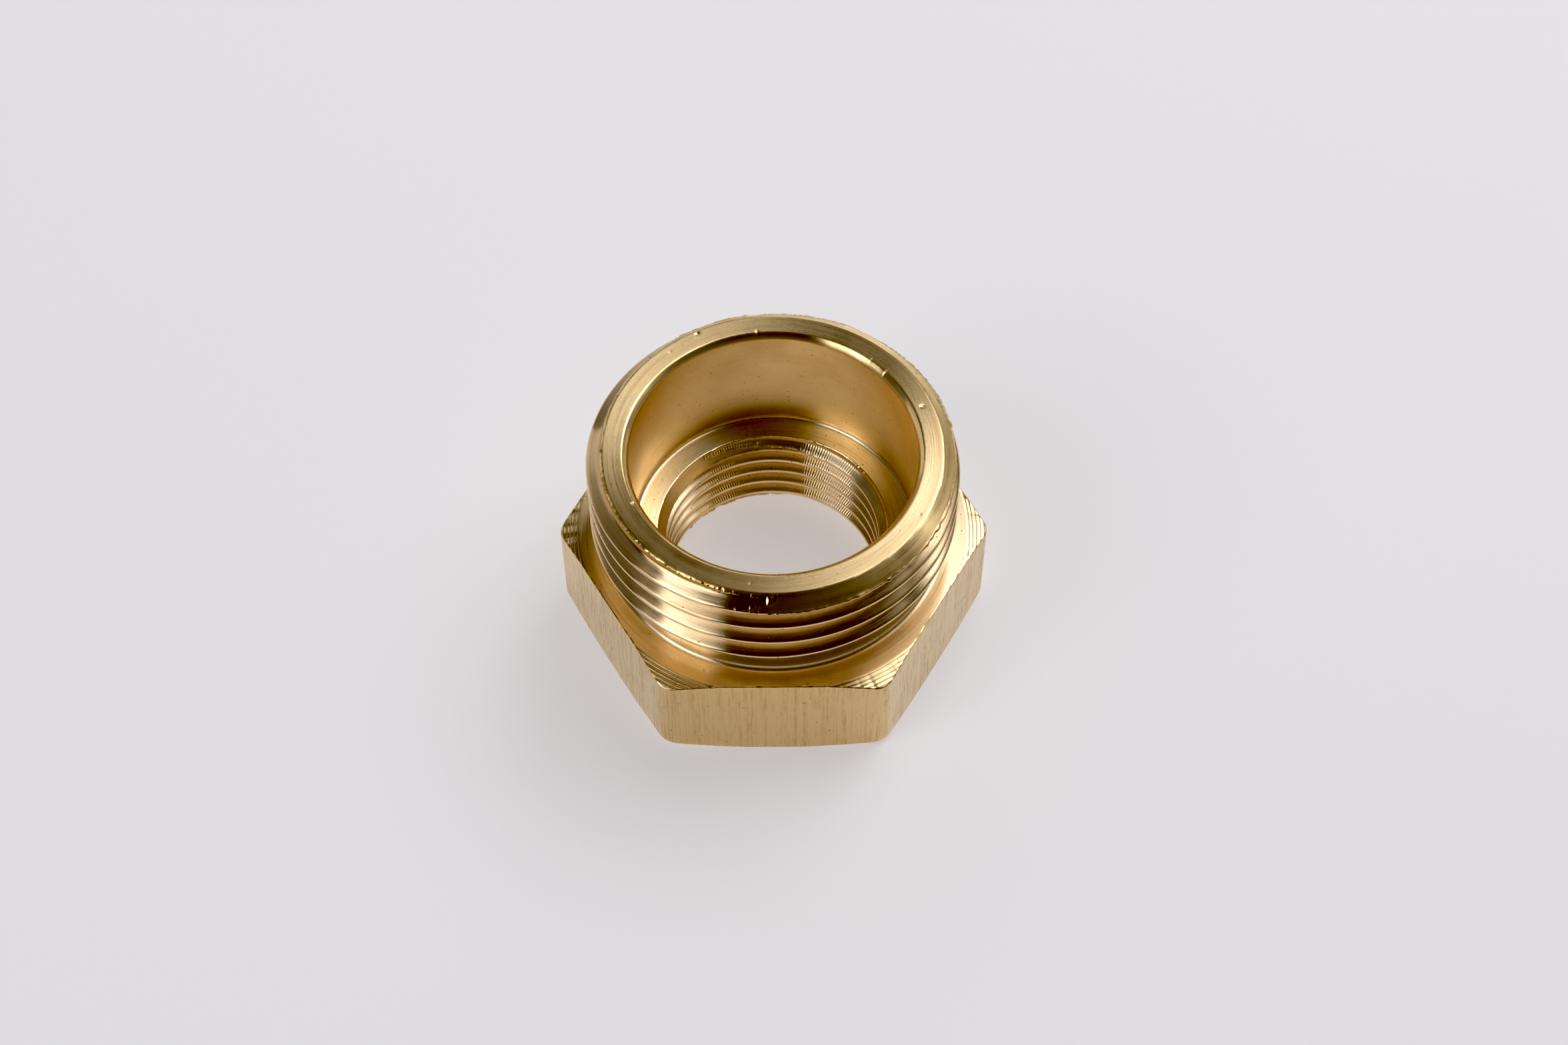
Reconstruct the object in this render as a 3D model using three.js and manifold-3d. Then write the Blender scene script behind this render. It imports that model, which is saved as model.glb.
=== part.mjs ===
import * as THREE from 'three';
import { mergeVertices } from 'three/addons/utils/BufferGeometryUtils.js';
import Module from 'manifold-3d';

// A hexagon reducing bushing, turned in one piece from brass hexagon bar.
// The hexagon stands on its seat face, with a right-hand female pipe thread through it.
// The threaded neck stands on the hexagon, and a wide smooth bore goes down through the neck.
// Millimetres, +Z along the thread axis, origin at the centre of the seat face.

// Bar
const acrossFlats = 27;
const barCornerRadius = 1.5;
const barCornerSteps = 6;
const barOverrun = 1;

// Hexagon
const hexHeight = 8.2;
const seatChamferRadius = 13.6;
const seatChamferAngle = 20.6;
const shoulderChamferRadius = 13.93;
const shoulderChamferAngle = 15;
const turningRadius = 17;

// Neck
const overallHeight = 17.6;
const rimOuterRadius = 11.82;
const rimOuterChamferDrop = 0.75;
const undercutRadius = 11.95;
const undercutTop = 10.3;
const undercutRunOut = 0.6;
const undercutFillet = 0.45;
const filletSteps = 3;

// Smooth bore in the neck
const boreRadius = 10.08;
const rimInnerChamfer = 0.37;
const boreFloorHeight = 7.95;
const boreFloorFillet = 0.3;

// Male thread, G 3/4: 14 threads to the inch
const malePitch = 25.4 / 14;
const maleMajorRadius = 13.05;
const maleMinorRadius = 12;
const maleCrestFlat = 0.2;
const maleCrestHeight = 13.19;
const maleCrestAngle = -90;
const maleTurnsAbove = 2.5;
const maleTurnsBelow = 2.5;

// Female thread, G 3/8: 19 threads to the inch
const femalePitch = 25.4 / 19;
const femaleMajorRadius = 8.33;
const femaleMinorRadius = 7.6;
const femaleCrestFlat = 0.28;
const femaleCrestHeight = 4.5;
const femaleCrestAngle = 90;
const femaleTurnsAbove = 3;
const femaleTurnsBelow = 4.5;
const femaleCountersinkRadius = 8.38;
const seatCountersinkRadius = 8.95;

// Both threads have the 55 degree pipe form
const threadAngle = 55;
const threadClearance = 0.4;

// How finely round surfaces are divided
const stepsPerTurn = 48;

const degrees = THREE.MathUtils.degToRad;
const wasm = await Module();
wasm.setup();

function toSolid(geometry) {
  geometry.deleteAttribute('normal');
  geometry.deleteAttribute('uv');
  const merged = mergeVertices(geometry);
  const mesh = new wasm.Mesh({
    numProp: 3,
    vertProperties: new Float32Array(merged.attributes.position.array),
    triVerts: new Uint32Array(merged.index.array),
  });
  return new wasm.Manifold(mesh);
}

function toGeometry(solid) {
  const mesh = solid.getMesh();
  const geometry = new THREE.BufferGeometry();
  geometry.setAttribute('position', new THREE.BufferAttribute(mesh.vertProperties, 3));
  geometry.setIndex(new THREE.BufferAttribute(mesh.triVerts, 1));
  geometry.computeVertexNormals();
  return geometry;
}

// Drawn hexagon bar with rounded corners, two of them on the X axis.
function hexagonBar() {
  const cornerCentre = (acrossFlats / 2 - barCornerRadius) / Math.cos(degrees(30));
  const outline = new THREE.Shape();
  for (let corner = 0; corner < 6; corner += 1) {
    for (let step = 0; step <= barCornerSteps; step += 1) {
      const facing = degrees(60 * corner);
      const turn = facing + degrees(60 * (step / barCornerSteps - 0.5));
      const x = cornerCentre * Math.cos(facing) + barCornerRadius * Math.cos(turn);
      const y = cornerCentre * Math.sin(facing) + barCornerRadius * Math.sin(turn);
      if (corner + step === 0) {
        outline.moveTo(x, y);
      } else {
        outline.lineTo(x, y);
      }
    }
  }
  const depth = overallHeight + 2 * barOverrun;
  const bar = new THREE.ExtrudeGeometry(outline, { depth, bevelEnabled: false });
  bar.translate(0, 0, -barOverrun);
  return toSolid(bar);
}

// The small round at the foot of the neck, from the shoulder up to the undercut.
function undercutFootPoints() {
  const points = [];
  for (let step = 0; step <= filletSteps; step += 1) {
    const turn = degrees(90 * (step / filletSteps));
    const radius = undercutRadius + undercutFillet * (1 - Math.sin(turn));
    const height = hexHeight + undercutFillet * (1 - Math.cos(turn));
    points.push([radius, height]);
  }
  return points;
}

// The small round in the bore's lower corner, from the wall down to the floor.
function boreCornerPoints() {
  const points = [];
  for (let step = 0; step <= filletSteps; step += 1) {
    const turn = degrees(90 * (step / filletSteps));
    const radius = boreRadius - boreFloorFillet * (1 - Math.cos(turn));
    const height = boreFloorHeight + boreFloorFillet * (1 - Math.sin(turn));
    points.push([radius, height]);
  }
  return points;
}

// Everything the lathe cuts, as one closed section: seat, shoulder, neck, rim and bore.
function turnedSection() {
  const seatRise = (turningRadius - seatChamferRadius) * Math.tan(degrees(seatChamferAngle));
  const shoulderReach = turningRadius - shoulderChamferRadius;
  const shoulderDrop = shoulderReach * Math.tan(degrees(shoulderChamferAngle));
  const seatCountersinkDepth = seatCountersinkRadius - femaleMinorRadius;
  const countersinkDepth = femaleCountersinkRadius - femaleMinorRadius;
  return [
    [seatCountersinkRadius, 0],
    [seatChamferRadius, 0],
    [turningRadius, seatRise],
    [turningRadius, hexHeight - shoulderDrop],
    [shoulderChamferRadius, hexHeight],
    ...undercutFootPoints(),
    [undercutRadius, undercutTop],
    [maleMajorRadius, undercutTop + undercutRunOut],
    [maleMajorRadius, overallHeight - rimOuterChamferDrop],
    [rimOuterRadius, overallHeight],
    [boreRadius + rimInnerChamfer, overallHeight],
    [boreRadius, overallHeight - rimInnerChamfer],
    ...boreCornerPoints(),
    [femaleCountersinkRadius, boreFloorHeight],
    [femaleMinorRadius, boreFloorHeight - countersinkDepth],
    [femaleMinorRadius, seatCountersinkDepth],
    [seatCountersinkRadius, 0],
  ];
}

function turnedEnvelope() {
  const profile = turnedSection().map(([radius, height]) => new THREE.Vector2(radius, height));
  const lathe = new THREE.LatheGeometry(profile, stepsPerTurn);
  lathe.rotateX(Math.PI / 2);
  return toSolid(lathe);
}

// A straight bar of the groove's section, bent into a right-hand helix that runs downwards.
// The section's x is the radius and its y is the height above the groove's centre.
function helicalGroove({ section, pitch, passHeight, passAngle, turnsAbove, turnsBelow }) {
  const outline = new THREE.Shape(section.map(([x, y]) => new THREE.Vector2(x, y)));
  const turns = turnsAbove + turnsBelow;
  const depth = degrees(360 * turns);
  const steps = turns * stepsPerTurn;
  const groove = new THREE.ExtrudeGeometry(outline, { depth, steps, bevelEnabled: false });
  const startAngle = degrees(passAngle + 360 * turnsAbove);
  const startHeight = passHeight + pitch * turnsAbove;
  const position = groove.attributes.position;
  for (let i = 0; i < position.count; i += 1) {
    const radius = position.getX(i);
    const swept = position.getZ(i);
    const angle = startAngle - swept;
    const height = startHeight + position.getY(i) - pitch * (swept / degrees(360));
    position.setXYZ(i, radius * Math.cos(angle), radius * Math.sin(angle), height);
  }
  return toSolid(groove);
}

// A trapezium from the root of the thread to a little past its crest.
function grooveSection({ rootRadius, crestRadius, pitch, crestFlat }) {
  const outward = Math.sign(rootRadius - crestRadius);
  const flank = Math.tan(degrees(threadAngle / 2));
  const mouthRadius = crestRadius - outward * threadClearance;
  const crestHalfWidth = (pitch - crestFlat) / 2;
  const rootHalfWidth = crestHalfWidth - Math.abs(rootRadius - crestRadius) * flank;
  const mouthHalfWidth = crestHalfWidth + threadClearance * flank;
  const corners = [
    [rootRadius, -rootHalfWidth],
    [mouthRadius, -mouthHalfWidth],
    [mouthRadius, mouthHalfWidth],
    [rootRadius, rootHalfWidth],
  ];
  return outward < 0 ? corners : corners.reverse();
}

function maleThreadGroove() {
  return helicalGroove({
    section: grooveSection({
      rootRadius: maleMinorRadius,
      crestRadius: maleMajorRadius,
      pitch: malePitch,
      crestFlat: maleCrestFlat,
    }),
    pitch: malePitch,
    passHeight: maleCrestHeight + malePitch / 2,
    passAngle: maleCrestAngle,
    turnsAbove: maleTurnsAbove,
    turnsBelow: maleTurnsBelow,
  });
}

function femaleThreadGroove() {
  return helicalGroove({
    section: grooveSection({
      rootRadius: femaleMajorRadius,
      crestRadius: femaleMinorRadius,
      pitch: femalePitch,
      crestFlat: femaleCrestFlat,
    }),
    pitch: femalePitch,
    passHeight: femaleCrestHeight + femalePitch / 2,
    passAngle: femaleCrestAngle,
    turnsAbove: femaleTurnsAbove,
    turnsBelow: femaleTurnsBelow,
  });
}

function bushingBody() {
  const turned = hexagonBar().intersect(turnedEnvelope());
  const threaded = turned.subtract(maleThreadGroove()).subtract(femaleThreadGroove());
  const brass = new THREE.MeshStandardMaterial({
    color: 0xc9a667,
    roughness: 0.35,
    metalness: 1,
  });
  const mesh = new THREE.Mesh(toGeometry(threaded), brass);
  mesh.name = 'bushing_body';
  return mesh;
}

const bushing = new THREE.Group();
bushing.add(bushingBody());

export default bushing;
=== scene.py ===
import math

import bpy
import numpy as np
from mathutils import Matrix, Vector


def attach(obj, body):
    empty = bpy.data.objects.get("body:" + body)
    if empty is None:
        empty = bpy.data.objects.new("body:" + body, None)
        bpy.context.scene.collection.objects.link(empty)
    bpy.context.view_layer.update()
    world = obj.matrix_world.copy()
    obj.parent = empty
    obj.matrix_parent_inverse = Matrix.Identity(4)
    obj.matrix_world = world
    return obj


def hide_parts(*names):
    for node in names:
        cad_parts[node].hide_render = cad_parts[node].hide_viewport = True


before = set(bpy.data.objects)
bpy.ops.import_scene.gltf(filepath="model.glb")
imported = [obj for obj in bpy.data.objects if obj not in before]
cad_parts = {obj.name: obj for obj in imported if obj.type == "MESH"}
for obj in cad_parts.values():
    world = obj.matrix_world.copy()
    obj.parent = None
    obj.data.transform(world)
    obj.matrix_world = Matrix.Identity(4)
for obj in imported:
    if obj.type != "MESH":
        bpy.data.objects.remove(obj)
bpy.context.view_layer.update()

# Sizes are in millimetres here, and the mesh is scaled to metres when it is made.
millimetre = 0.001


def smoothNoise(angle, cells, seed):
    # closed noise round the axis, from -1 to 1, with that many cells to a turn
    values = np.random.default_rng(seed).uniform(-1, 1, cells)
    place = np.mod(angle, 2 * math.pi) / (2 * math.pi) * cells
    cell = np.floor(place).astype(int)
    share = place - cell
    share = share * share * (3 - 2 * share)
    return values[cell % cells] * (1 - share) + values[(cell + 1) % cells] * share


def sparseBumps(angle, cells, share, seed):
    # mostly 0, with a few narrow bumps up to 1
    noise = smoothNoise(angle, cells, seed)
    return np.clip((noise - (1 - share)) / share, 0, 1)


class Skin:
    # a closed surface made of rings round the axis, all with the same columns

    def __init__(self, columns):
        self.columns = columns
        self.angle = np.arange(columns) * 2 * math.pi / columns
        self.points = []
        self.faces = []
        self.finishes = []
        self.count = 0

    def addPoints(self, radius, height, angle):
        radius, height, angle = np.broadcast_arrays(radius, height, angle)
        self.points.append(np.stack([radius * np.cos(angle), radius * np.sin(angle), height], -1))
        first = self.count
        self.count += len(angle)
        return np.arange(first, self.count)

    def ring(self, radius, height):
        return self.addPoints(radius, height, self.angle)

    def addFaces(self, corners, finish):
        # corners is an array of quads; one whose corners fall together becomes a triangle or nothing
        for quad in corners.tolist():
            kept = [p for i, p in enumerate(quad) if p != quad[i - 1]]
            if len(set(kept)) == len(kept) > 2:
                self.faces.append(kept)
                self.finishes.append(finish)

    def join(self, lower, upper, finish):
        nextLower, nextUpper = np.roll(lower, -1), np.roll(upper, -1)
        self.addFaces(np.stack([lower, nextLower, nextUpper, upper], -1), finish)

    def stack(self, first, profile, finish):
        # adds a ring for each (radius, height) of the profile, and joins them up from the ring first
        last = first
        for radius, height in profile:
            following = self.ring(radius, height)
            self.join(last, following, finish)
            last = following
        return last

    def thread(self, lowRing, highRing, low, high, form, limit, burr, finishOf, inward):
        # A ribbon wound along the helix, cut off at the heights low and high, where it meets
        # two rings. form holds the thread's pitch, height and row offsets, and its radius.
        # limit(radius, height) gives what the turning leaves of that radius.
        # burr is the height, round the axis, of the bead where the thread and the turning meet
        # at the upper end.
        pitch, offsets = form["pitch"], form["offsets"]
        rowsPerTurn = len(offsets)
        firstTurn = math.floor((low - form["height"]) / pitch) - 2
        lastTurn = math.ceil((high - form["height"]) / pitch) + 1
        rows = [(turn, row) for turn in range(firstTurn, lastTurn) for row in range(rowsPerTurn)]
        columnShift = int(round(form["angle"] / (2 * math.pi) * self.columns)) % self.columns
        order = np.roll(np.arange(self.columns), -columnShift)
        rise = np.zeros(self.columns)
        rise[order] = pitch * np.arange(self.columns) / self.columns
        heights = np.array([form["height"] + pitch * turn + offsets[row] + rise
                            for turn, row in rows])
        radii = np.array([[form["radiusAt"](offsets[row])] for turn, row in rows])
        radii, limited = limit(radii, heights)
        meeting = np.zeros_like(radii)
        meeting[1:-1] = (limited[1:-1] != limited[2:]) | (limited[1:-1] != limited[:-2])
        radii = radii + burr * meeting * (heights > (low + high) / 2)
        ids = np.zeros((len(rows), self.columns), int)
        for index, (radius, height) in enumerate(zip(radii, heights)):
            inside = (height > low) & (height < high)
            ids[index] = np.where(height <= low, lowRing, highRing)
            ids[index][inside] = self.addPoints(
                radius[inside], height[inside], self.angle[inside])
        ids, limited = ids[:, order], limited[:, order]
        shifted = np.minimum(np.arange(len(rows)) + rowsPerTurn, len(rows) - 1)
        ids = np.hstack([ids, ids[shifted, :1]])
        for index in range(len(rows) - 1):
            a, b = ids[index, :-1], ids[index, 1:]
            c, d = ids[index + 1, 1:], ids[index + 1, :-1]
            quads = np.stack([b, a, d, c] if inward else [a, b, c, d], -1)
            turned = limited[index] & limited[index + 1]
            self.addFaces(quads[~turned], finishOf[0])
            self.addFaces(quads[turned], finishOf[1])

    def build(self, name, materials):
        mesh = bpy.data.meshes.new(name)
        points = np.concatenate(self.points) * millimetre
        mesh.from_pydata(points.tolist(), [], self.faces)
        names = list(materials)
        for finish in names:
            mesh.materials.append(materials[finish])
        slots = [names.index(finish) for finish in self.finishes]
        mesh.polygons.foreach_set("material_index", slots)
        mesh.shade_smooth()
        mesh.update()
        piece = bpy.data.objects.new(name, mesh)
        bpy.context.scene.collection.objects.link(piece)
        return piece


bushing = {
    "columns": 840,             # steps round the axis
    "acrossFlats": 27.0,
    "cornerRadius": 1.5,
    "hexHeight": 8.2,
    "overallHeight": 17.6,
    "edgeBreak": 0.05,          # how far each sharp edge is worn back
    "seatChamferRadius": 13.6,
    "seatChamferAngle": 20.6,
    "shoulderChamferRadius": 13.93,
    "shoulderChamferAngle": 15.0,
    "undercutRadius": 11.95,
    "undercutTop": 10.3,
    "undercutRunOut": 0.6,
    "undercutFillet": 0.45,
    "rimOuterRadius": 11.82,
    "rimOuterChamferDrop": 0.75,
    "boreRadius": 10.08,
    "rimInnerChamfer": 0.37,
    "boreFloorHeight": 7.95,
    "boreFloorFillet": 0.3,
    "countersinkRadius": 8.38,
    "seatCountersinkRadius": 8.95,
    "burrHeight": 0.15,         # of the beads where the thread runs out of the chamfer
    "holeBurr": 0.4,            # how much of that height the beads in the threaded hole have
    "rimNick": 0.03,            # how far the rim's outer edge is nicked
    "boreNick": 0.05,           # and its inner edge
    "rimLip": 0.004,            # how far below the rim its outer edge lies
    "hexBurr": 0.09,            # raggedness of the hexagon's edges
    "holeRaggedness": 0.11,     # of the threaded hole's lower edge
}

# knocks in the rim: angle in degrees, radius, width and depth
rimKnocks = (
    (117.5, 11.6, 0.13, 0.08), (19.5, 11.1, 0.1, 0.07), (130.0, 11.3, 0.07, 0.04),
    (48.2, 10.54, 0.06, 0.04), (40.2, 10.5, 0.06, 0.05), (96.0, 10.55, 0.08, 0.05),
    (205.0, 10.6, 0.07, 0.05), (262.0, 11.2, 0.05, 0.04), (331.0, 11.4, 0.08, 0.05),
)

maleThread = {
    "pitch": 25.4 / 14,
    "major": 13.05,
    "minor": 12.0,
    "crestFlat": 0.2,
    "height": 13.19,            # of a crest's middle at the angle below
    "angle": math.radians(-90),
    "rounding": 0.03,
    "rootRounding": 0.16,
    "halfRows": (0.05, 0.1, 0.14, 0.2, 0.3, 0.4, 0.49, 0.57, 0.64, 0.71, 0.78, 0.84),
}

femaleThread = {
    "pitch": 25.4 / 19,
    "major": 8.33,
    "minor": 7.6,
    "crestFlat": 0.28,
    "height": 4.5,
    "angle": math.radians(90),
    "rounding": 0.03,
    "rootRounding": 0.12,
    "halfRows": (0.07, 0.12, 0.16, 0.22, 0.3, 0.38, 0.45, 0.51, 0.57, 0.62),
}


def threadForm(sizes, outward):
    # outward is 1 for a male thread and -1 for a female one
    pitch, flank = sizes["pitch"], math.tan(math.radians(27.5))
    crest = sizes["major"] if outward > 0 else sizes["minor"]
    root = sizes["minor"] if outward > 0 else sizes["major"]

    def sharpRadius(offset):
        away = abs((offset + pitch / 2) % pitch - pitch / 2)
        depth = max(0.0, away - sizes["crestFlat"] / 2) / flank
        return crest - outward * min(depth, abs(crest - root))

    def radiusAt(offset):
        away = abs((offset + pitch / 2) % pitch - pitch / 2) / (pitch / 2)
        spread = np.linspace(-1, 1, 9) * (sizes["rounding"] + sizes["rootRounding"] * away)
        return float(np.mean([sharpRadius(offset + s) for s in spread]))

    half = sizes["halfRows"]
    offsets = [-pitch / 2, *(-x for x in reversed(half)), 0.0, *half]
    return {"pitch": pitch, "height": sizes["height"], "angle": sizes["angle"],
            "offsets": offsets, "radiusAt": radiusAt}


def hexRadius(angle):
    # distance from the axis to the rounded hexagon's side, with corners on the X axis
    corner = bushing["cornerRadius"]
    apothem = bushing["acrossFlats"] / 2
    centre = (apothem - corner) / math.cos(math.radians(30))
    away = np.abs(np.mod(angle + math.pi / 6, math.pi / 3) - math.pi / 6)
    tangent = math.atan2(corner / 2, centre + corner * math.cos(math.radians(30)))
    across = np.sqrt(np.maximum(corner ** 2 - (centre * np.sin(away)) ** 2, 0))
    onArc = centre * np.cos(away) + across
    onFlat = apothem / np.cos(math.pi / 6 - away)
    return np.where(away < tangent, onArc, onFlat)


def blendRings(a, b, shares):
    # in-between (radius, height) pairs from profile point a to b
    return [(a[0] + (b[0] - a[0]) * s, a[1] + (b[1] - a[1]) * s) for s in shares]


def knockDepth(angle, radius):
    # how deep the knocks go at one radius, all round
    depth = np.zeros_like(angle)
    for degrees, middle, width, deep in rimKnocks:
        away = np.mod(angle - math.radians(degrees) + math.pi, 2 * math.pi) - math.pi
        distance = (away * middle) ** 2 + (radius - middle) ** 2
        depth += deep * np.exp(-distance / width ** 2)
    return depth


def makeHexagon(skin, side, ragged):
    # the seat face, its turned chamfer and the six flats; gives the hole's edge and the flats' top
    b = bushing
    wear = b["edgeBreak"]
    slope = math.tan(math.radians(b["seatChamferAngle"]))
    shoulderSlope = math.tan(math.radians(b["shoulderChamferAngle"]))
    seatEdge = np.minimum(b["seatChamferRadius"], side - 0.15)
    seatRise = np.maximum(side - b["seatChamferRadius"], 0) * slope
    holeEdge = skin.ring(b["seatCountersinkRadius"], 0.0)
    seat = [(b["seatCountersinkRadius"] + wear, 0.0), (11.0, 0.0), (13.0, 0.0), (seatEdge, 0.0)]
    ring = skin.stack(holeEdge, seat, "seat")
    foot = (side - wear * 0.6, np.maximum(side - wear - b["seatChamferRadius"], 0) * slope)
    ring = skin.stack(ring, blendRings((seatEdge, 0.0), foot, (0.1, 0.4, 0.7, 1.0)), "corner")
    shoulderDrop = np.maximum(side - b["shoulderChamferRadius"], 0) * shoulderSlope
    low = (side, seatRise + wear)
    high = (side, b["hexHeight"] - shoulderDrop - wear + np.minimum(ragged, 0))
    flats = [low, *blendRings(low, high, (0.02, 0.25, 0.5, 0.75, 0.98, 1.0))]
    return holeEdge, skin.stack(ring, flats, "flat")


def makeShoulder(skin, side, ragged, ring):
    # the turned cone at the corners, the smooth ring inside it, and the undercut's wall
    b = bushing
    wear, shoulder = b["edgeBreak"], b["hexHeight"]
    slope = math.tan(math.radians(b["shoulderChamferAngle"]))
    coneInner = np.minimum(b["shoulderChamferRadius"], side - 0.12)
    edge = (side - wear, shoulder - np.maximum(side - wear - b["shoulderChamferRadius"], 0)
            * slope + np.minimum(ragged, 0) * 0.5)
    cone = [edge, *blendRings(edge, (coneInner, shoulder), (0.06, 0.3, 0.6, 0.9, 1.0))]
    ring = skin.stack(ring, cone, "corner")
    fillet = b["undercutFillet"]
    footRadius = b["undercutRadius"] + fillet
    annulus = blendRings((coneInner, shoulder), (footRadius, shoulder), (0.05, 0.35, 0.7, 1.0))
    ring = skin.stack(ring, annulus, "shoulder")
    turns = np.radians(np.linspace(15, 90, 6))
    neck = [(b["undercutRadius"] + fillet * (1 - math.sin(t)),
             shoulder + fillet * (1 - math.cos(t))) for t in turns]
    neck += [(b["undercutRadius"], height) for height in (9.0, 9.8, b["undercutTop"])]
    return skin.stack(ring, neck, "shoulder")


def makeMaleThread(skin, burr, undercutEdge):
    # cut off by the rim's chamfer above and by the undercut's run-out below
    b = bushing
    top = b["overallHeight"]
    chamferSlope = (maleThread["major"] - b["rimOuterRadius"]) / b["rimOuterChamferDrop"]
    runOutSlope = (maleThread["major"] - b["undercutRadius"]) / b["undercutRunOut"]

    def limit(radius, height):
        chamfer = b["rimOuterRadius"] + (top - height) * chamferSlope
        runOut = b["undercutRadius"] + (height - b["undercutTop"]) * runOutSlope
        turned = np.minimum(chamfer, runOut)
        return np.minimum(radius, turned), turned < radius

    nicks = b["rimNick"] * sparseBumps(skin.angle, 260, 0.4, 7)
    rimStart = top - b["rimLip"]
    rimEdge = skin.ring(b["rimOuterRadius"] - nicks, rimStart)
    skin.thread(undercutEdge, rimEdge, b["undercutTop"], rimStart,
                threadForm(maleThread, 1), limit, burr, ("maleThread", "chamfer"), False)
    return rimEdge


def makeRim(skin, rimEdge):
    # the rim, with its knocks, and the small chamfer inside it
    b = bushing
    wear, top = b["edgeBreak"], b["overallHeight"]
    chamfer, bore = b["rimInnerChamfer"], b["boreRadius"]
    nicks = b["boreNick"] * sparseBumps(skin.angle, 150, 0.12, 8)
    radii = np.linspace(b["rimOuterRadius"] - wear, bore + chamfer + wear, 14)
    rim = [(radius, top - knockDepth(skin.angle, radius)) for radius in radii]
    rim[-1] = (radii[-1] + nicks, rim[-1][1])
    ring = skin.stack(rimEdge, rim, "rim")
    knocked = knockDepth(skin.angle, bore + chamfer)
    inner = [(bore + chamfer - 0.6 * wear + 0.3 * knocked, top - wear - knocked),
             (bore + 0.5 * chamfer + 0.4 * knocked, top - 0.5 * chamfer - 0.6 * knocked),
             (bore + 0.4 * wear + 0.3 * knocked, top - chamfer + 0.4 * wear),
             (bore, top - chamfer - 0.6 * wear)]
    return skin.stack(ring, inner, "chamfer")


def makeBore(skin, ring):
    # the smooth bore, the small round in its corner, and its flat floor
    b = bushing
    bore, floor, corner = b["boreRadius"], b["boreFloorHeight"], b["boreFloorFillet"]
    wallTop = b["overallHeight"] - b["rimInnerChamfer"] - 0.15
    wall = [(bore, height) for height in (wallTop, 15.0, 13.0, 11.0, 9.5, 8.8, 8.4)]
    ring = skin.stack(ring, wall, "bore")
    rounding = [(bore - corner * (1 - math.cos(t)), floor + corner * (1 - math.sin(t)))
                for t in np.radians(np.linspace(0, 90, 8))]
    ring = skin.stack(ring, rounding, "floor")
    floorEnd = (b["countersinkRadius"], floor)
    floorRings = blendRings(rounding[-1], floorEnd, (0.05, 0.35, 0.65, 0.96, 1.0))
    return skin.stack(ring, floorRings, "floor")


def makeFemaleThread(skin, burr, holeEdge, floorEdge):
    # cut off by the countersinks at both ends, the lower one with a ragged edge
    b = bushing
    floor = b["boreFloorHeight"]
    ragged = b["holeRaggedness"] * (
        0.65 * smoothNoise(skin.angle, 110, 9) + 0.35 * smoothNoise(skin.angle, 330, 10))

    def limit(radius, height):
        sink = b["countersinkRadius"] - (floor - height)
        seatSink = b["seatCountersinkRadius"] - height + ragged * (height > 0.35)
        turned = np.maximum(sink, seatSink)
        return np.maximum(radius, turned), turned > radius

    skin.thread(holeEdge, floorEdge, 0.0, floor, threadForm(femaleThread, -1), limit,
                -b["holeBurr"] * burr, ("femaleThread", "countersink"), True)


def makeBushing(materials):
    skin = Skin(bushing["columns"])
    angle = skin.angle
    side = hexRadius(angle)
    ragged = bushing["hexBurr"] * (
        0.6 * smoothNoise(angle, 300, 3) + 0.4 * smoothNoise(angle, 90, 4))
    burr = bushing["burrHeight"] * (0.45 + 0.55 * smoothNoise(angle, 420, 5)) * (
        0.55 + 0.45 * sparseBumps(angle, 130, 0.8, 6))
    holeEdge, flatsTop = makeHexagon(skin, side, ragged)
    undercutEdge = makeShoulder(skin, side, ragged, flatsTop)
    rimEdge = makeMaleThread(skin, burr, undercutEdge)
    floorEdge = makeBore(skin, makeRim(skin, rimEdge))
    makeFemaleThread(skin, burr, holeEdge, floorEdge)
    return skin.build("bushing", materials)


class Nodes:
    # short forms for building a node tree

    def __init__(self, owner):
        # owner is a material or a world
        owner.use_nodes = True
        self.owner = owner
        self.tree = owner.node_tree
        self.tree.nodes.clear()

    def add(self, kind, inputs=None, **settings):
        node = self.tree.nodes.new(kind)
        for key, value in settings.items():
            setattr(node, key, value)
        for key, value in (inputs or {}).items():
            self.put(node.inputs[key], value)
        return node

    def put(self, socket, value):
        if isinstance(value, bpy.types.NodeSocket):
            self.tree.links.new(value, socket)
        else:
            socket.default_value = value

    def maths(self, operation, *values):
        node = self.add("ShaderNodeMath", operation=operation)
        for index, value in enumerate(values):
            self.put(node.inputs[index], value)
        return node.outputs[0]

    def ramp(self, value, low, high, outLow=0.0, outHigh=1.0):
        node = self.add("ShaderNodeMapRange", {0: value, 1: low, 2: high, 3: outLow, 4: outHigh})
        return node.outputs[0]

    def noise(self, vector, scale, detail=2.0, roughness=0.5, w=None):
        settings = {"noise_dimensions": "3D" if w is None else "4D"}
        inputs = {"Vector": vector, "Scale": scale, "Detail": detail, "Roughness": roughness}
        node = self.add("ShaderNodeTexNoise", inputs, **settings)
        if w is not None:
            self.put(node.inputs["W"], w)
        return node.outputs[0]

    def combine(self, x, y, z):
        return self.add("ShaderNodeCombineXYZ", {0: x, 1: y, 2: z}).outputs[0]

    def mixColour(self, share, a, b):
        node = self.add("ShaderNodeMix", data_type="RGBA")
        self.put(node.inputs[0], share)
        self.put(node.inputs[6], a)
        self.put(node.inputs[7], b)
        return node.outputs[2]


def placeInMillimetres(nodes):
    place = nodes.add("ShaderNodeTexCoord").outputs["Object"]
    split = nodes.add("ShaderNodeSeparateXYZ", {0: place})
    return [nodes.maths("DIVIDE", split.outputs[i], millimetre) for i in range(3)]


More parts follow.
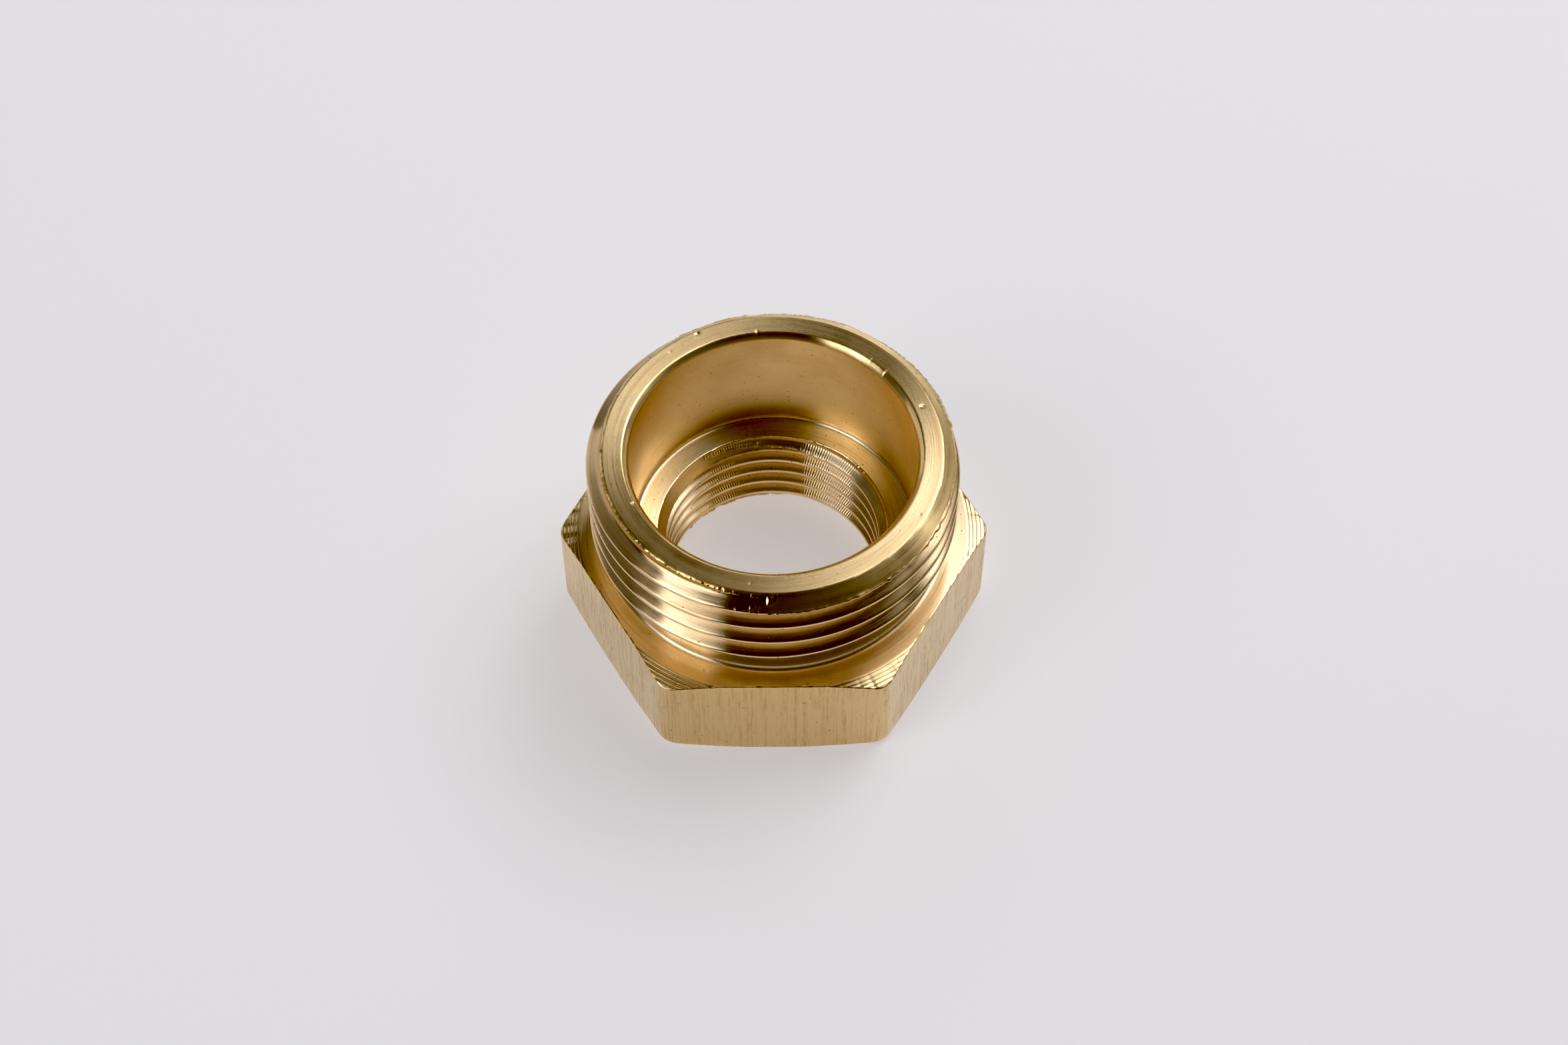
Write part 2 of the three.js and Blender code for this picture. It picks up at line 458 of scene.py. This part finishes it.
def finishMetal(nodes, look, colour, roughness, height, outward):
    # height is the relief in millimetres, and outward the x and y of a line out from the axis
    height = nodes.maths("MULTIPLY", height, millimetre)
    bump = nodes.add("ShaderNodeBump", {"Strength": 1.0, "Distance": 1.0, "Height": height})
    shader = nodes.add("ShaderNodeBsdfPrincipled", {
        "Base Color": colour, "Metallic": 1.0, "Roughness": roughness,
        "Normal": bump.outputs[0], "Anisotropic": look["anisotropy"],
        "Anisotropic Rotation": look["stretchTurn"]})
    circling = nodes.add("ShaderNodeVectorTransform", {0: nodes.combine(
        nodes.maths("MULTIPLY", outward[1], -1.0), outward[0], 0.0)},
        vector_type="VECTOR", convert_from="OBJECT", convert_to="WORLD")
    nodes.put(shader.inputs["Tangent"], circling.outputs[0])
    nodes.add("ShaderNodeOutputMaterial", {0: shader.outputs[0]})
    return nodes.owner


def turnedPlace(nodes, pitch):
    # where a point lies on a turned surface: its distance across the tool marks, and its
    # direction from the axis; on a thread the marks follow the helix of that pitch
    x, y, z = placeInMillimetres(nodes)
    squares = nodes.maths("ADD", nodes.maths("MULTIPLY", x, x), nodes.maths("MULTIPLY", y, y))
    radius = nodes.maths("SQRT", squares)
    angle = nodes.maths("ARCTAN2", y, x)
    if pitch:
        turns = nodes.maths("DIVIDE", angle, 2 * math.pi)
        phase = nodes.maths("FRACT", nodes.maths("SUBTRACT", nodes.maths("DIVIDE", z, pitch), turns))
        across = nodes.maths("MULTIPLY", phase, pitch)
    else:
        across = nodes.maths("ADD", radius, z)
    return {"x": x, "y": y, "z": z, "radius": radius, "angle": angle, "across": across,
            "cos": nodes.maths("DIVIDE", x, radius), "sin": nodes.maths("DIVIDE", y, radius)}


def turnedBrass(name, look):
    nodes = Nodes(bpy.data.materials.new(name))
    at = turnedPlace(nodes, look.get("pitch"))

    # streaks along the tool's path, finer and coarser, that change slowly along it
    direction = [nodes.maths("MULTIPLY", at[k], look["drift"]) for k in ("cos", "sin")]
    rise = nodes.maths("MULTIPLY", at["z"], look["climb"])

    def streaksOf(spacing, detail, crispness):
        streakAt = nodes.combine(nodes.maths("MULTIPLY", at["across"], 1 / spacing), *direction)
        return nodes.noise(streakAt, 1.0, detail, crispness, rise)

    fine = streaksOf(look["fine"], 2.0, 0.6)
    coarse = streaksOf(look["coarse"], 3.0, 0.7)
    body = nodes.combine(at["x"], at["y"], at["z"])
    cloud = nodes.noise(body, look["cloudScale"], 3.0, 0.6)
    grain = nodes.noise(body, look["grainScale"], 2.0, 0.6)

    # colour: clean brass with darker, browner tarnish
    tarnish = nodes.ramp(cloud, 0.45, 0.75, 0.0, look["tarnish"])
    streaks = nodes.maths("ADD", nodes.ramp(fine, 0.46, 0.70, 0.0, 0.5),
                          nodes.ramp(coarse, 0.46, 0.66, 0.0, 0.5))
    tarnish = nodes.maths("ADD", tarnish, nodes.maths("MULTIPLY", streaks, look["streakTint"]))
    if look.get("root"):
        # painted shade darkening the thread's root, with a little dirt held there too
        rootShadeAndDirt = nodes.ramp(at["radius"], *look["root"], look["rootShadeAndDirtAmount"], 0.0)
        tarnish = nodes.maths("ADD", tarnish, rootShadeAndDirt)
    speckNoise = nodes.noise(body, 1 / look["speckSize"], 0.0, 0.5)
    specks = nodes.ramp(speckNoise, 0.80, 0.84, 0.0, look["specks"])
    colour = nodes.mixColour(tarnish, (*look["colour"], 1), (*look["tarnished"], 1))
    colour = nodes.mixColour(specks, colour, (*look["speckColour"], 1))

    roughness = nodes.ramp(fine, 0.25, 0.75, look["roughness"] - look["roughSpread"],
                           look["roughness"] + look["roughSpread"])
    roughness = nodes.maths("ADD", roughness, nodes.ramp(cloud, 0.35, 0.7, -0.02, 0.03))
    roughness = nodes.maths("ADD", roughness, nodes.maths("MULTIPLY", specks, 0.3))

    # relief: streaks, even feed marks where the tool left them, a little grain
    height = nodes.maths("MULTIPLY", fine, look["fineDepth"])
    height = nodes.maths("ADD", height, nodes.maths("MULTIPLY", coarse, look["coarseDepth"]))
    height = nodes.maths("ADD", height, nodes.maths("MULTIPLY", grain, look["grainDepth"]))
    if look.get("feed"):
        wobble = nodes.maths("MULTIPLY", coarse, look["feedWobble"])
        turn = nodes.maths("MULTIPLY", nodes.maths("ADD", at["across"], wobble),
                           2 * math.pi / look["feed"])
        wave = nodes.maths("MULTIPLY", nodes.maths("SINE", turn), look["feedDepth"])
        height = nodes.maths("ADD", height, wave)
    if look.get("chatter"):
        # short waves along the tool's path, in a few places only
        shake = nodes.maths("SINE", nodes.maths("MULTIPLY", at["angle"], look["chatterWaves"]))
        patches = nodes.ramp(nodes.noise(nodes.combine(*direction, 3.0), 1.6, 1.0), 0.5, 0.62)
        shake = nodes.maths("MULTIPLY", shake, patches)
        height = nodes.maths("ADD", height, nodes.maths("MULTIPLY", shake, look["chatter"]))
    return finishMetal(nodes, look, colour, roughness, height, (at["cos"], at["sin"]))


def drawnBrass(name, look):
    # the bar's own skin: upright drawing streaks, dashes, stains and pits
    nodes = Nodes(bpy.data.materials.new(name))
    x, y, z = placeInMillimetres(nodes)
    body = nodes.combine(x, y, z)

    def uprightNoise(marks, detail, crispness):
        width, stretch = look[marks]
        at = nodes.combine(nodes.maths("DIVIDE", x, width), nodes.maths("DIVIDE", y, width),
                           nodes.maths("DIVIDE", z, width * stretch))
        return nodes.noise(at, 1.0, detail, crispness)

    streaks = uprightNoise("streak", 3.0, 0.65)
    dashes = uprightNoise("dash", 1.0, 0.5)
    stains = uprightNoise("stain", 4.0, 0.7)
    patches = uprightNoise("patch", 3.0, 0.6)
    pits = nodes.noise(body, look["pitScale"], 0.0, 0.5)
    grain = nodes.noise(body, look["grainScale"], 2.0, 0.6)

    # painted shade: the side facing -Y is darker and browner than the rest, for the little light it
    # gets
    paintedShadeSide = nodes.ramp(y, *look["paintedShadeFrom"])
    cleanWithPaintedShade = nodes.mixColour(paintedShadeSide, (*look["colour"], 1), (*look["paintedShadeSide"], 1))
    stained = nodes.ramp(stains, 0.52, 0.70, 0.0, look["stains"])
    streaked = nodes.maths("MULTIPLY", nodes.ramp(streaks, 0.50, 0.66, 0.0, look["streakTint"]),
                           nodes.ramp(patches, 0.36, 0.58, 0.15, 1.0))
    dashed = nodes.ramp(dashes, 0.66, 0.74, 0.0, look["dashes"])
    pitted = nodes.ramp(pits, 0.80, 0.83, 0.0, look["pits"])
    colour = nodes.mixColour(nodes.maths("MAXIMUM", stained, streaked), cleanWithPaintedShade,
                             (*look["stained"], 1))
    colour = nodes.mixColour(dashed, colour, (*look["dashColour"], 1))
    colour = nodes.mixColour(pitted, colour, (*look["pitColour"], 1))
    roughness = nodes.ramp(streaks, 0.3, 0.7, look["roughness"] - look["roughSpread"],
                           look["roughness"] + look["roughSpread"])
    roughness = nodes.maths("ADD", roughness, nodes.maths("MULTIPLY", stained, 0.15))

    height = nodes.maths("MULTIPLY", streaks, look["streakDepth"])
    height = nodes.maths("SUBTRACT", height, nodes.maths("MULTIPLY", dashed, look["dashDepth"]))
    height = nodes.maths("SUBTRACT", height, nodes.maths("MULTIPLY", pitted, look["pitDepth"]))
    height = nodes.maths("ADD", height, nodes.maths("MULTIPLY", grain, look["grainDepth"]))
    return finishMetal(nodes, look, colour, roughness, height, (x, y))


brass = (0.9, 0.68, 0.40)
brown = (0.50, 0.30, 0.12)

turnedLook = {
    "colour": brass,
    "tarnished": brown,
    "tarnish": 0.15,            # how brown the cloudy patches are
    "streakTint": 0.5,          # how brown the tool marks are
    "speckColour": (0.09, 0.05, 0.02),
    "specks": 0.8,
    "speckSize": 0.16,          # sizes, spacings and depths in millimetres
    "cloudScale": 0.35,         # scales are in cells to the millimetre
    "grainScale": 9.0,
    "fine": 0.09,
    "coarse": 0.34,
    "drift": 1.2,               # how fast the tool marks change round the axis
    "climb": 0.6,               # and along it
    "fineDepth": 0.005,
    "coarseDepth": 0.005,
    "grainDepth": 0.0003,
    "roughness": 0.21,
    "roughSpread": 0.06,
    "anisotropy": 0.9,
    "stretchTurn": 0.25,        # highlights stretch square to the tool marks
}

finishes = {
    "rim": {**turnedLook, "fineDepth": 0.006, "coarseDepth": 0.006, "roughness": 0.28,
            "anisotropy": 0.84, "streakTint": 0.6},
    "chamfer": {**turnedLook, "colour": (0.88, 0.66, 0.36)},
    "seat": {**turnedLook, "roughness": 0.3},
    "corner": {**turnedLook, "feed": 0.2, "feedDepth": 0.006, "feedWobble": 0.12,
               "coarseDepth": 0.010, "streakTint": 0.7},
    "shoulder": {**turnedLook, "fineDepth": 0.001, "coarseDepth": 0.002, "roughness": 0.22,
                 "colour": (0.9, 0.70, 0.46), "streakTint": 0.3},
    "bore": {**turnedLook, "fineDepth": 0.0008, "coarseDepth": 0.001, "roughness": 0.42,
             "roughSpread": 0.03, "anisotropy": 0.2, "streakTint": 0.12, "specks": 0.6,
             "colour": (0.92, 0.68, 0.37), "grainDepth": 0.0015},
    "floor": {**turnedLook, "roughness": 0.25, "colour": (0.96, 0.80, 0.58), "streakTint": 0.6},
    # the threads' roots get a painted shade, partly dirt, over the radii given as root
    "maleThread": {**turnedLook, "pitch": maleThread["pitch"], "roughness": 0.16,
                   "fineDepth": 0.0025, "coarseDepth": 0.003, "colour": (0.9, 0.68, 0.44),
                   "root": (12.02, 12.3), "rootShadeAndDirtAmount": 0.8},
    "femaleThread": {**turnedLook, "pitch": femaleThread["pitch"], "roughness": 0.25,
                     "fineDepth": 0.0025, "coarseDepth": 0.003, "colour": (0.96, 0.77, 0.53),
                     "chatter": 0.004, "chatterWaves": 260.0, "root": (8.3, 8.2),
                     "rootShadeAndDirtAmount": 0.25},
    "countersink": {**turnedLook, "roughness": 0.2, "colour": (0.96, 0.80, 0.58)},
}

flatLook = {
    "colour": (0.82, 0.65, 0.42),
    "paintedShadeSide": (0.74, 0.53, 0.29),     # painted shade: darker, browner colour of the side that faces -Y
    "paintedShadeFrom": (-12.7, -13.4),     # y where the sides next to it end and where it is reached
    "stained": (0.50, 0.32, 0.14),
    "dashColour": (0.16, 0.09, 0.04),
    "pitColour": (0.06, 0.03, 0.015),
    "streakTint": 0.62,
    "stains": 0.6,
    "dashes": 0.3,
    "pits": 0.5,
    "streak": (0.16, 60.0),         # width in millimetres, and how many times as long
    "dash": (0.10, 7.0),
    "stain": (0.36, 9.0),
    "patch": (0.9, 1.4),            # where the streaks come and go
    "pitScale": 3.2,                # in cells to the millimetre
    "grainScale": 14.0,
    "streakDepth": 0.016,
    "dashDepth": 0.01,
    "pitDepth": 0.03,
    "grainDepth": 0.001,
    "roughness": 0.38,
    "roughSpread": 0.06,
    "anisotropy": 0.4,
    "stretchTurn": 0.0,
}


def makeMaterials():
    made = {name: turnedBrass("brass_" + name, look) for name, look in finishes.items()}
    made["flat"] = drawnBrass("brass_flat", flatLook)
    return made


studio = {
    "floorSize": 4.0,
    "floorColour": (0.63, 0.62, 0.64),
    "floorGlow": 0.623,
    "horizonColour": (0.80, 0.80, 0.82),
    "horizonGlow": 0.31,        # of the pale surroundings, fading out to dark overhead
    "horizonFade": 0.55,        # how far up they fade, as the sine of the height
    "overheadGlow": 0.04,
    "wallGlow": 0.75,           # of a paler band just above the floor
    "wallFoot": 0.06,           # where that band starts to fade, and where it ends, as sines
    "wallTop": 0.2,
    "lightDistance": 0.6,
    "blackLevel": (0.02, 0.03, 0.045),  # a little contrast, as a camera gives
}

softboxes = {
    # name: direction round the axis and height in degrees, width and height in metres, watts
    "keyLow": (20, 47, 0.21, 0.19, 0.255),
    "keyHigh": (14, 65, 0.24, 0.19, 0.18),
    "keyBackLow": (46, 46, 0.26, 0.19, 0.288),
    "keyBack": (61, 51, 0.20, 0.20, 0.27),
    "keyBackHigh": (52, 66, 0.28, 0.24, 0.459),
    "frontLeft": (219, 34, 0.26, 0.15, 0.22),
    "left": (202, 36, 0.20, 0.20, 0.18),
    "leftHigh": (213, 51, 0.25, 0.17, 0.287),
    "leftTop": (189, 56, 0.20, 0.22, 0.011),
    "leftBack": (162, 40, 0.30, 0.25, 0.028),
    "leftBackLow": (150, 17, 0.40, 0.25, 0.151),
    "backHigh": (106, 41, 0.25, 0.19, 0.163),
    "backRight": (80, 14, 0.22, 0.13, 0.168),
    "backRightLow": (52, 7, 0.60, 0.14, 0.101),
    "overhead": (80, 84, 0.28, 0.28, 0.012),
}

camera = {
    "place": (0.0, -0.1151, 0.1750),    # in metres
    "tiltDown": 55.30,                  # in degrees, and so is pan
    "pan": 0.371,
    "lens": 64.65,
    "sensor": 36.0,
}


def makeFloor():
    bpy.ops.mesh.primitive_plane_add(size=studio["floorSize"])
    floor = bpy.context.object
    floor.name = "floor"
    nodes = Nodes(bpy.data.materials.new("pale_floor"))
    shader = nodes.add("ShaderNodeBsdfPrincipled", {
        "Base Color": (*studio["floorColour"], 1), "Roughness": 0.8,
        "Emission Color": (*studio["floorColour"], 1), "Emission Strength": studio["floorGlow"]})
    nodes.add("ShaderNodeOutputMaterial", {0: shader.outputs[0]})
    floor.data.materials.append(nodes.owner)


def makeLights():
    nodes = Nodes(bpy.data.worlds.new("studio"))
    upward = nodes.add("ShaderNodeSeparateXYZ", {
        0: nodes.add("ShaderNodeTexCoord").outputs["Generated"]}).outputs[2]
    glow = nodes.ramp(upward, 0.0, studio["horizonFade"],
                      studio["horizonGlow"], studio["overheadGlow"])
    glow = nodes.maths("MAXIMUM", glow, nodes.ramp(
        upward, studio["wallFoot"], studio["wallTop"], studio["wallGlow"], 0.0))
    background = nodes.add("ShaderNodeBackground", {0: (*studio["horizonColour"], 1), 1: glow})
    nodes.add("ShaderNodeOutputWorld", {0: background.outputs[0]})
    bpy.context.scene.world = nodes.owner
    for name, (azimuth, elevation, width, height, power) in softboxes.items():
        data = bpy.data.lights.new(name, "AREA")
        data.shape, data.size, data.size_y, data.energy = "RECTANGLE", width, height, power
        lamp = bpy.data.objects.new(name, data)
        level = math.cos(math.radians(elevation))
        direction = Vector((level * math.cos(math.radians(azimuth)),
                            level * math.sin(math.radians(azimuth)),
                            math.sin(math.radians(elevation))))
        lamp.location = direction * studio["lightDistance"]
        lamp.rotation_mode = "QUATERNION"
        lamp.rotation_quaternion = (-direction).to_track_quat("-Z", "Y")
        bpy.context.scene.collection.objects.link(lamp)


def makeCamera():
    data = bpy.data.cameras.new("view")
    data.lens = camera["lens"]
    data.sensor_width = camera["sensor"]
    data.clip_start, data.clip_end = 0.01, 20.0
    view = bpy.data.objects.new("view", data)
    view.location = camera["place"]
    view.rotation_euler = (math.radians(90 - camera["tiltDown"]), 0, -math.radians(camera["pan"]))
    bpy.context.scene.collection.objects.link(view)
    bpy.context.scene.camera = view
    look = bpy.context.scene.view_settings
    look.view_transform = "Standard"
    look.use_curve_mapping = True
    look.curve_mapping.black_level = studio["blackLevel"]
    look.curve_mapping.update()


makeCamera()
makeLights()
makeFloor()
print("stage ready")
materials = makeMaterials()
print("materials ready:", len(materials))
piece = makeBushing(materials)
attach(piece, "root")
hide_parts("bushing_body")
print("bushing ready:", len(piece.data.polygons), "faces")
